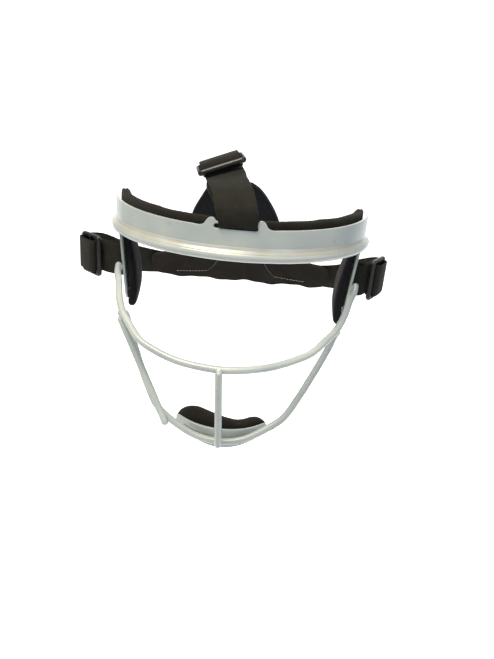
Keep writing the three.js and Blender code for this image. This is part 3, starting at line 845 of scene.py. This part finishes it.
def brow_pad_ring(angle, extra):
    """Section of the brow pad at an angle round the head: up its front, over and down its back, which
    stands extra millimetres nearer the head."""
    turn = math.radians(angle)
    x_unit, y_unit = math.sin(turn), -math.cos(turn)
    y = BROW_RADIUS + 90 * y_unit
    top = 22.5 + max(0.0, y) * 3.4 / 85 + 0.5 * noise.noise(Vector((angle * 0.09, 0, 0)))
    low = -3.6 + 0.4 * noise.noise(Vector((angle * 0.09, 9, 0)))
    section = [(0.0, PAD_RIDGE), (0.02, PAD_FRONT_EDGE)]
    section += [(share, PAD_FRONT) for share in (0.08, 0.3, 0.55, 0.75, 0.9)]
    section += [(0.98, PAD_FRONT_EDGE), (1.0, PAD_RIDGE), (0.98, PAD_BACK_EDGE)]
    section += [(share, PAD_BACK - extra) for share in (0.9, 0.7, 0.5, 0.3, 0.1)] + [(0.02, PAD_BACK_EDGE)]
    ring = []
    for share, radius in section:
        height = low + (top - low) * share
        if height > 11 and abs(90 * x_unit) < 16:
            radius = min(radius, 87.4)  # room for the top strap behind the slot
        ring.append((radius * x_unit, BROW_RADIUS + radius * y_unit, height))
    return ring


def hold_inside(co, centre_y, limit):
    """A frame point, brought in to limit millimetres from an upright axis at centre_y if it lies further."""
    p = cage_mm(co)
    flat = Vector((p.x, p.y - centre_y, 0))
    if flat.length > limit:
        flat = flat.normalized() * limit
        p = Vector((flat.x, flat.y + centre_y, p.z))
    return (p - FOREHEAD) * MM


def brow_pad():
    angles = [-77 + 2 * i for i in range(78)]
    pad = loft("brow_pad_cloth", [brow_pad_ring(a, 0.6 if abs(a) > 70 else 0) for a in angles])

    def clear_of_shell(co):
        p = cage_mm(co)
        return hold_inside(co, BROW_RADIUS, 88.0 if p.z > 10.5 and abs(p.x) < 15.5 else 90.4)

    swell_foam(pad, 1.7, 5.0, 1.6, clear_of_shell)
    # the cover's seam runs along the top edge, with a pucker every few millimetres
    for vert in pad.data.vertices:
        p = cage_mm(vert.co)
        if p.z < 15:
            continue
        radius = math.hypot(p.x, p.y - BROW_RADIUS)
        angle = math.degrees(math.atan2(p.x, BROW_RADIUS - p.y))
        seam_at = 87.3 if abs(p.x) > 17 else 85.6
        near = math.exp(-((radius - seam_at) / 0.8) ** 2)
        pucker = 0.75 + 0.25 * math.sin(angle * 2.3) + 0.3 * noise.noise(Vector((angle * 0.5, 3, 0)))
        vert.co.z -= near * pucker * 1.5 * MM
    finish_pad(pad, CLOTH, "brow_pad")


brow_pad()

CHIN_PAD_UPPER = [(-34, -123.5), (-31, -118.8), (-26, -116), (-20, -115.4), (-10, -117.6), (4, -121.2),
                  (14, -122.8), (24, -120.8), (29, -121.6), (33, -126)]
CHIN_PAD_LOWER = [(-34, -130.5), (-20, -135), (0, -138), (20, -135), (33, -131)]
CHIN_PAD_FRONT = 47.2                  # radius round the cup's axis
CHIN_PAD_HALF_DEPTH = 5.0


def squared(value):
    """A sine or cosine pushed towards its ends, which makes a round section boxier."""
    return math.copysign(abs(value) ** 0.6, value)


def chin_pad():
    rings = []
    count, sides = 32, 16
    for c in range(count + 1):
        x = -33.6 + 65.8 * c / count
        share = math.sin(math.pi * (c + 0.6) / (count + 1.2)) ** 0.16
        upper, lower = height_along(CHIN_PAD_UPPER, x), height_along(CHIN_PAD_LOWER, x)
        middle = (upper + lower) / 2
        half = max(1.0, (upper - lower) / 2) * share
        depth_half = CHIN_PAD_HALF_DEPTH * share
        turn = math.asin(x / 47)
        ring = []
        for k in range(sides):
            angle = math.tau * k / sides
            radius = CHIN_PAD_FRONT - depth_half + depth_half * squared(math.cos(angle))
            ring.append((radius * math.sin(turn), CUP_CENTRE_Y - radius * math.cos(turn),
                         middle + half * squared(math.sin(angle))))
        rings.append(ring)
    pad = loft("chin_pad_cloth", rings)
    swell_foam(pad, 1.5, 4.0, 1.2, lambda co: hold_inside(co, CUP_CENTRE_Y, 47.6))
    finish_pad(pad, CLOTH, "chin_pad")


chin_pad()


def temple_pad_outline():
    outline = [Vector((76.9, -7.4)), Vector((78.2, -30)), Vector((79.4, -56))]
    outline += quadratic((79.4, -56), (80.0, -71), (85, -69.6), 6)[1:]
    outline += quadratic((85, -69.6), (98.6, -61), (101, -46), 6)[1:]
    outline += quadratic((101, -46), (101.5, -20.2), (92.8, -7.4), 6)[1:]
    return outline


def temple_pad(side_name, side):
    """A flat foam pad, nearly 7 mm thick, rounded by its cover and hollowed for the strap that loops through
    the plate's slot."""
    outline = temple_pad_outline()
    middle = sum(outline, Vector((0, 0))) / len(outline)
    face, depth = -2.8, 6.6
    place = temple_matrix(side)

    def foot_shift(height):
        """Below its hook tape the pad bends out to the plate, and past the plate's end."""
        return 1.6 * min(1.0, max(0.0, (-52 - height) / 10)) + 1.2 * min(1.0, max(0.0, (-62 - height) / 6))

    rings = []
    for lateral, share in ((0, 0.9), (-0.7, 0.97), (-2.2, 1), (-4.4, 1), (-5.9, 0.97), (-depth, 0.88),
                           (-depth - 0.2, 0.5)):
        ring = []
        for p in outline:
            q = middle + (p - middle) * share
            fullness = min(1.0, 0.5 + (PLATE_TOP_Z - q.y) / 60)
            ring.append((face + lateral * fullness + foot_shift(q.y), q.x, q.y))
        rings.append(ring)
    pad = loft(f"temple_pad_{side_name}_cloth", rings)
    for vert in pad.data.vertices:
        vert.co = place @ (cage_mm(vert.co) * MM)
    merge_doubles(pad)
    back = place.inverted()

    def clear_of_plate(co):
        local = back @ co
        limit = (face + foot_shift(local.z / MM)) * MM
        if local.y > 86.5 * MM and -51.5 * MM < local.z < -18.5 * MM:
            limit = (face - 1.9) * MM
        local.x = min(local.x, limit)
        return place @ local

    swell_foam(pad, 1.6, 4.0, 1.2, clear_of_plate)
    # the darker navy cloth carries painted shade
    finish_pad(pad, SHADED_NAVY_CLOTH, f"temple_pad_{side_name}")


for side_name, side in SIDES:
    temple_pad(side_name, side)

for node in ("brow_hook_tape", "chin_hook_tape", "temple_hook_tape_left", "temple_hook_tape_right"):
    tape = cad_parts[node]
    tape.data.materials.clear()
    tape.data.materials.append(TAPE)


# ---- rear panel ----
# its outline: height up the panel, left edge, right edge
PANEL_ROWS = [
    (0, -64, 64), (3, -77, 77), (16, -79, 79), (27, -77, 76), (31, -62, 56), (38, -52, 42),
    (52, -46, 34), (74, -43, 29), (92, -35, 20), (103, -29, 12), (108, -24, 5),
]


def panel_point(x, up, out=0.0):
    """A cage point on the panel's curled front face, or out millimetres behind it."""
    y = PANEL_FOOT.y - up * math.sin(PANEL_LEAN) - PANEL_CURL * x * x + out
    return Vector((x, y, PANEL_FOOT.z + up * math.cos(PANEL_LEAN)))


def foot_wave(x):
    """How far the panel's lower edge stands above its foot."""
    rise = max(0.0, (abs(x) - 30) / 40) * 3.5
    return 1.2 + rise + 1.1 * math.sin(x * 0.155 + 0.6) + 0.5 * math.sin(x * 0.37)


def rear_panel():
    left = smooth_path([(row[1], row[0], 0) for row in PANEL_ROWS], 3)
    right = smooth_path([(row[2], row[0], 0) for row in PANEL_ROWS], 3)
    rows = min(len(left), len(right))
    columns = 48
    points = []
    for r in range(rows):
        a = left[round(r * (len(left) - 1) / (rows - 1))]
        b = right[round(r * (len(right) - 1) / (rows - 1))]
        for c in range(columns + 1):
            share = c / columns
            x = a.x + (b.x - a.x) * share
            up = a.y + (b.y - a.y) * share
            up += max(0.0, 1 - up / 20) * foot_wave(x)
            ripple = 0.5 * noise.noise(Vector((x * 0.05, up * 0.06, 4)))
            points.append(at(*panel_point(x, up, PANEL_THICKNESS / 2 + ripple)))
    panel = mesh_object("rear_panel_neoprene", points, grid_faces(rows, columns + 1))
    modify(panel, "SOLIDIFY", thickness=(PANEL_THICKNESS - 0.6) * MM, offset=0, use_even_offset=True)
    round_edges(panel, 1.2, 3, 50)
    subdivide(panel, 1)
    finish_piece(panel, NEOPRENE, "harness_back", "rear_panel")


rear_panel()


# ---- stitching ----
STITCH, STITCH_GAP, THREAD_RADIUS, THREAD_SIDES = 1.9, 0.6, 0.3, 6
# how a stitch rises out of the cloth: share of its length, height and thickness in thread radii
STITCH_ARCH = [(0, -0.5, 0.3), (0.12, 0.15, 0.85), (0.5, 0.5, 1), (0.88, 0.15, 0.85), (1, -0.5, 0.3)]


def stitch_row(name, line, outwards, material, body):
    """A row of thread stitches along a line of cage points; outwards(point) is the surface's normal."""
    path = smooth_path(line, 0.25)
    stitches, start, travelled = [], path[0], 0.0
    for a, b in zip(path, path[1:]):
        travelled += (b - a).length
        if travelled >= STITCH and start is not None:
            stitches.append((start, b))
            start, travelled = None, 0.0
        elif start is None and travelled >= STITCH_GAP:
            start, travelled = b, 0.0
    points, faces = [], []
    for a, b in stitches:
        along = (b - a).normalized()
        normal = outwards((a + b) / 2).normalized()
        side = along.cross(normal).normalized()
        first = len(points)
        for share, rise, size in STITCH_ARCH:
            centre = a.lerp(b, share) + normal * rise * THREAD_RADIUS
            for k in range(THREAD_SIDES):
                angle = math.tau * k / THREAD_SIDES
                offset = side * math.cos(angle) + normal * math.sin(angle)
                points.append(at(*(centre + offset * THREAD_RADIUS * size)))
        faces += tube_faces(len(STITCH_ARCH), THREAD_SIDES, first)
        faces.append(tuple(first + k for k in reversed(range(THREAD_SIDES))))
        faces.append(tuple(len(points) - THREAD_SIDES + k for k in range(THREAD_SIDES)))
    piece = mesh_object(name, points, faces)
    merge_doubles(piece)
    finish_piece(piece, material, body)


def panel_front(point):
    """The way the panel's front faces, near enough for thread."""
    return Vector((-2 * PANEL_CURL * point.x, -1, -math.tan(PANEL_LEAN) * 0.5))


def on_panel_front(side, pairs):
    """A line just in front of the panel, given on its right wing."""
    return [tuple(panel_point(side * x, up, -0.15)) for x, up in pairs]


for side_name, side in reversed(SIDES):
    row = on_panel_front(side, [(31.5, 10.0), (38, 9.4), (48, 8.8), (59.5, 8.7)])
    stitch_row(f"wing_stitches_{side_name}", row, panel_front, PALE_THREAD, "harness_back")

# where the wings' facing laps over the middle of the panel
for side_name, side in reversed(SIDES):
    line = on_panel_front(side, [(19.5, 31), (21.5, 24), (25, 17), (31.5, 10)])
    round_wire(f"panel_seam_{side_name}", line, 0.45, DARK_THREAD, "harness_back")


# ---- elastic ----
# half of the webbing's section, as shares of its half width and half thickness; its edges are rounded
WEBBING_HALF = [(-1, 0), (-0.985, 0.7), (-0.94, 1), (-0.5, 1), (0, 1), (0.5, 1), (0.94, 1), (0.985, 0.7)]
WEBBING_SECTION = WEBBING_HALF + [(-u, -v) for u, v in WEBBING_HALF]


def webbing(name, path, across_at, narrow_at=lambda share: 1.0, width=STRAP_WIDTH):
    """Flat webbing along a fine path; across_at(share) gives the direction of its width, and narrow_at(share)
    a share of it. Its UV map is millimetres, across and along."""
    count = len(WEBBING_SECTION)
    last = len(path) - 1
    lengths = [0.0]
    for a, b in zip(path, path[1:]):
        lengths.append(lengths[-1] + (b - a).length)
    points = []
    for i, centre in enumerate(path):
        along = (path[min(i + 1, last)] - path[max(i - 1, 0)]).normalized()
        across = Vector(across_at(i / last))
        across = (across - along * across.dot(along)).normalized()
        normal = along.cross(across).normalized()
        half = width / 2 * narrow_at(i / last)
        slack = 0.12 * noise.noise(Vector((lengths[i] * 0.09, 2, 0)))
        for u, v in WEBBING_SECTION:
            edge = 0.1 * noise.noise(Vector((lengths[i] * 0.4, u * 3, 5))) if abs(u) > 0.9 else 0
            place = centre + across * (u * half + edge) + normal * (v * STRAP_THICKNESS / 2 + slack)
            points.append(at(*place))
    faces = tube_faces(len(path), count)
    faces.append(tuple(reversed(range(count))))
    faces.append(tuple(last * count + i for i in range(count)))
    piece = mesh_object(name, points, faces)
    merge_doubles(piece)
    layer = piece.data.uv_layers.new(name="UVMap")
    for loop in piece.data.loops:
        ring, i = divmod(loop.vertex_index, count)
        layer.data[loop.index].uv = (WEBBING_SECTION[i][0] * width / 2, lengths[ring])
    round_edges(piece, 0.2, 1, 60)
    subdivide(piece, 1)
    return apply_stack(piece)


class SliderPlace:
    """Where a slider sits: its centre, the way the strap runs, across the strap, and away from the head."""

    def __init__(self, centre, along, out):
        self.centre = Vector(centre)
        self.x = Vector(along).normalized()
        out = Vector(out)
        self.z = (out - self.x * out.dot(self.x)).normalized()
        self.y = self.z.cross(self.x)

    def point(self, along, out):
        return self.centre + self.x * along + self.z * out

    def matrix(self):
        turn = Matrix((self.x, self.y, self.z)).transposed().to_4x4()
        return Matrix.Translation(at(*self.centre)) @ turn


LEFT_TURN, RIGHT_TURN = math.radians(48), math.radians(30)
TOP_PLACE = SliderPlace((-15.4, 50.3, 49), (-2, 11, 0.5), (-3.2, -4.2, 10))
LEFT_PLACE = SliderPlace((-118.5, 100.5, STRAP_LEVEL), (-math.sin(LEFT_TURN), math.cos(LEFT_TURN), 0),
                         (-math.cos(LEFT_TURN), -math.sin(LEFT_TURN), 0))
RIGHT_PLACE = SliderPlace((110.5, 103.5, STRAP_LEVEL), (math.sin(RIGHT_TURN), math.cos(RIGHT_TURN), 0),
                          (math.cos(RIGHT_TURN), -math.sin(RIGHT_TURN), 0))


def top_strap():
    """The top strap: its looped end, the turn through the brow shell's slot, and the run over the head."""
    top = TOP_PLACE.point
    line = [
        top(8, LOOP_END_UNDER_SLIDER), top(-12, LOOP_END_UNDER_SLIDER),
        (-9.5, 28, 39.2), (-4.5, 16, 34.5), (-1.2, 6.8, 28.5),
        (0.8, 4.7, 23.4), (1.2, 4.7, 19.5), (1.2, 2, 17.4), (1.2, -0.3, 18.8), (1.1, -0.9, 22.4),
        (-0.5, 0.6, 29.4), (-3.9, 10.6, 37.4), (-8.4, 25, 42),
        top(-16, STRAP_UNDER_SLIDER - 0.7), top(-10, STRAP_UNDER_SLIDER), top(0, STRAP_UNDER_SLIDER),
        top(12, STRAP_UNDER_SLIDER), (-16.8, 80, 43.5), (-16, 98, 42), (-14.5, 112, 38.5),
        (-12.5, 120.7, 33.5), (-11, 126.2, 22.9), (-9.5, 132, 12),
    ]
    path, passed = knotted_path(line, 0.9)

    def across(share):
        t = passed[round(share * (len(path) - 1))] / (len(line) - 1)
        tilt = abs(t - 0.35) / 0.35 if t < 0.45 else min(1, (t - 0.45) / 0.2)
        late = min(1, max(0, (t - 0.75) / 0.12))
        return (1, 0.06 * tilt - 0.166 * late, 0.34 * tilt - 0.14 * late)

    def squeezed_in_slot(share):
        t = passed[round(share * (len(path) - 1))]
        return 1 - 0.06 * math.exp(-((t - 7.5) / 2.2) ** 2)

    strap = webbing("top_strap_elastic", path, across, squeezed_in_slot)
    finish_piece(strap, ELASTIC, None, "top_strap")
    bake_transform(strap)


top_strap()


def side_strap(side_name, side, place):
    """A side strap from the rear panel's wing through the temple plate's slot, and its looped end."""
    spread = abs(place.centre.x) - 111
    point = place.point

    def mirror(line):
        return [(side * x, y, z) for x, y, z in line]

    line = mirror([(58, 159.3, -51.5), (74, 155, -51), (90, 147.5, -48), (104 + spread, 137.5, -41),
                   (113 + spread, 127, -35.5)])
    line += [point(17, STRAP_UNDER_SLIDER - 0.9), point(11, STRAP_UNDER_SLIDER), point(0, STRAP_UNDER_SLIDER),
             point(-9, STRAP_UNDER_SLIDER), point(-14, STRAP_UNDER_SLIDER - 0.4)]
    line += mirror([(x, y, STRAP_LEVEL) for x, y in (
        (96, 92), (91.2, 91.3), (88, 91.4), (86, 93), (85.6, 97), (85.8, 101.6), (87.6, 103.9), (90, 102.6),
        (95, 98.6))])
    line += [point(-10, LOOP_END_UNDER_SLIDER - 0.6), point(-3, LOOP_END_UNDER_SLIDER),
             point(8, LOOP_END_UNDER_SLIDER)]
    path, passed = knotted_path(line, 0.9)
    on_panel = Vector((0, -math.sin(PANEL_LEAN), math.cos(PANEL_LEAN)))
    on_plate = Vector((side * math.sin(PLATE_LEAN), 0, math.cos(PLATE_LEAN)))

    def rise(t, low, high):
        return min(1, max(0, (t - low) / (high - low)))

    def across(share):
        t = passed[round(share * (len(path) - 1))] / (len(line) - 1)
        way = on_panel.lerp(Vector((0, 0, 1)), rise(t, 0.05, 0.2))
        return way.lerp(on_plate, rise(t, 0.42, 0.5) - rise(t, 0.8, 0.86))

    strap = webbing(f"side_strap_{side_name}_elastic", path, across)
    finish_piece(strap, ELASTIC, None, f"side_strap_{side_name}")
    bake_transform(strap)


side_strap("left", -1, LEFT_PLACE)
side_strap("right", 1, RIGHT_PLACE)


def slider(name, place, body, node, slot_half):
    """A moulded three-bar slider: a flat ring with a middle bar, every edge rounded."""
    near, far = SLIDER_SLOT
    outline = rounded_slot(-SLIDER_HALF_LENGTH, SLIDER_HALF_LENGTH, -SLIDER_HALF_WIDTH, SLIDER_HALF_WIDTH,
                           3.4, 6)
    slots = [rounded_slot(-far, -near, -slot_half, slot_half, 1.2, 4),
             rounded_slot(near, far, -slot_half, slot_half, 1.2, 4)]
    piece = flat_plate(name, [outline[::-1], *slots], SLIDER_THICKNESS, SLIDER_EDGE, place.matrix())
    finish_piece(piece, NYLON, body, node)


# the folded end's path, as places along the slider and out from its middle: every fold ends the same way
FOLD_OVER = [(7, 3.9), (12, 2.9), (14, 1.0), (13.4, -1.6), (10.5, -3.0), (7, -3.2)]
TOP_FOLD = [(-9.5, -3.1), (-8.0, -2.6), (-7.0, -0.6), (-6.4, 1.8), (-4.2, 3.5), (1, 4.2)] + FOLD_OVER
SIDE_FOLD = [(-9.5, -3.1), (-8.2, -2.7), (-7.6, -0.8), (-7.9, 1.6), (-9.0, 3.1), (-6.5, 4.5), (0, 4.6)]
SIDE_FOLD += FOLD_OVER


def strap_fold(name, place, body, node, fold, width):
    """The strap's end: up through the front slot, over the middle and rear bars and back underneath."""
    path = smooth_path([place.point(along, out) for along, out in fold], 0.8)
    piece = webbing(name, path, lambda share: place.y, width=width)
    finish_piece(piece, ELASTIC, body, node)


SLOT_PLAY = 0.9                        # room beside the strap in a slider's slots

for adjuster, place, node, fold_node, fold, width in (
    ("top_adjuster", TOP_PLACE, "top_slider", "top_strap_fold", TOP_FOLD, TOP_FOLD_WIDTH),
    ("left_adjuster", LEFT_PLACE, "side_slider_left", "side_strap_fold_left", SIDE_FOLD, STRAP_WIDTH),
    ("right_adjuster", RIGHT_PLACE, "side_slider_right", "side_strap_fold_right", SIDE_FOLD, STRAP_WIDTH),
):
    slider(f"{node}_nylon", place, adjuster, node, width / 2 + SLOT_PLAY)
    strap_fold(f"{fold_node}_elastic", place, adjuster, fold_node, fold, width)


# ---- studio ----
def soft_light(name, place, size, watts, colour):
    data = bpy.data.lights.new(name, "AREA")
    data.shape = "RECTANGLE"
    data.size, data.size_y = size
    data.energy = watts
    data.color = linear(colour)[:3]
    light = new_object(name, data)
    light.location = place
    light.rotation_euler = (-Vector(place)).to_track_quat("-Z", "Y").to_euler()


def card(name, points, faces, colour):
    """A matte card; its shader comes back, so that it can be given a glow."""
    piece = mesh_object(name, points, faces)
    for face in piece.data.polygons:
        face.use_smooth = True
    material, tree, shader = new_material(name + "_card", Roughness=0.95)
    shader.inputs["Base Color"].default_value = linear(colour)
    piece.data.materials.append(material)
    return tree, shader


def backdrop():
    """White paper that widens as it runs back and curves up, over a pale floor. It glows with painted light,
    no lamp's, which fades towards its edges."""
    bend, start, bend_from, near_half, spread, top = 1.2, -0.2, 2.2, 0.8, 0.75, 2.6
    profile = [(start, 0.0), (0.3, 0.0), (0.9, 0.0), (1.5, 0.0), (bend_from, 0.0)]
    profile += [(bend_from + bend * math.sin(math.radians(a)), bend * (1 - math.cos(math.radians(a))))
                for a in range(10, 91, 10)]
    profile += [(bend_from + bend, top)]
    points = [(side * (near_half + spread * (y - start)), y, FLOOR + z)
              for y, z in profile for side in (-1, 1)]
    faces = [(2 * i, 2 * i + 1, 2 * i + 3, 2 * i + 2) for i in range(len(profile) - 1)]
    tree, shader = card("white_paper_painted_glow", points, faces, "#f7f7f7")
    place = add(tree, "SeparateXYZ", {0: add(tree, "TexCoord").outputs["Object"]})
    half = ramp(tree, place.outputs["Y"], start, 4.0, near_half, near_half + spread * (4.0 - start))
    outwards = math_node(tree, "DIVIDE", math_node(tree, "ABSOLUTE", place.outputs["X"]), half)
    # painted light: the paper's glow, strongest in its middle and fading out at its sides, its front and its
    # top
    painted_glow = ramp(tree, outwards, 0.98, 0.7)
    for inwards in (ramp(tree, place.outputs["Y"], start, 0.0),
                    ramp(tree, place.outputs["Z"], FLOOR + 2.5, FLOOR + 1.7)):
        painted_glow = math_node(tree, "MULTIPLY", painted_glow, inwards)
    shader.inputs["Emission Color"].default_value = (1, 1, 1, 1)
    tree.links.new(math_node(tree, "MULTIPLY", painted_glow, 0.75), shader.inputs["Emission Strength"])
    reach, below = 9, FLOOR - 0.004
    card("pale_floor", [(-reach, -reach, below), (reach, -reach, below), (reach, reach, below),
                        (-reach, reach, below)], [(0, 1, 2, 3)], "#f2f3f3")


def studio():
    backdrop()
    world = bpy.data.worlds.new("studio")
    world.use_nodes = True
    sky = world.node_tree.nodes["Background"].inputs
    sky["Color"].default_value = linear("#e2e9f2")
    sky["Strength"].default_value = 0.46
    bpy.context.scene.world = world
    soft_light("key", (-0.35, -0.4, 1.3), (0.9, 0.5), 35, "#fff0da")
    soft_light("fill", (0.9, -0.9, 0.5), (0.7, 0.7), 3, "#f4f6ff")
    soft_light("rim", (0.3, 1.2, 0.9), (1.0, 0.4), 4, "#ffffff")
    bpy.context.scene.view_settings.view_transform = "Standard"


studio()
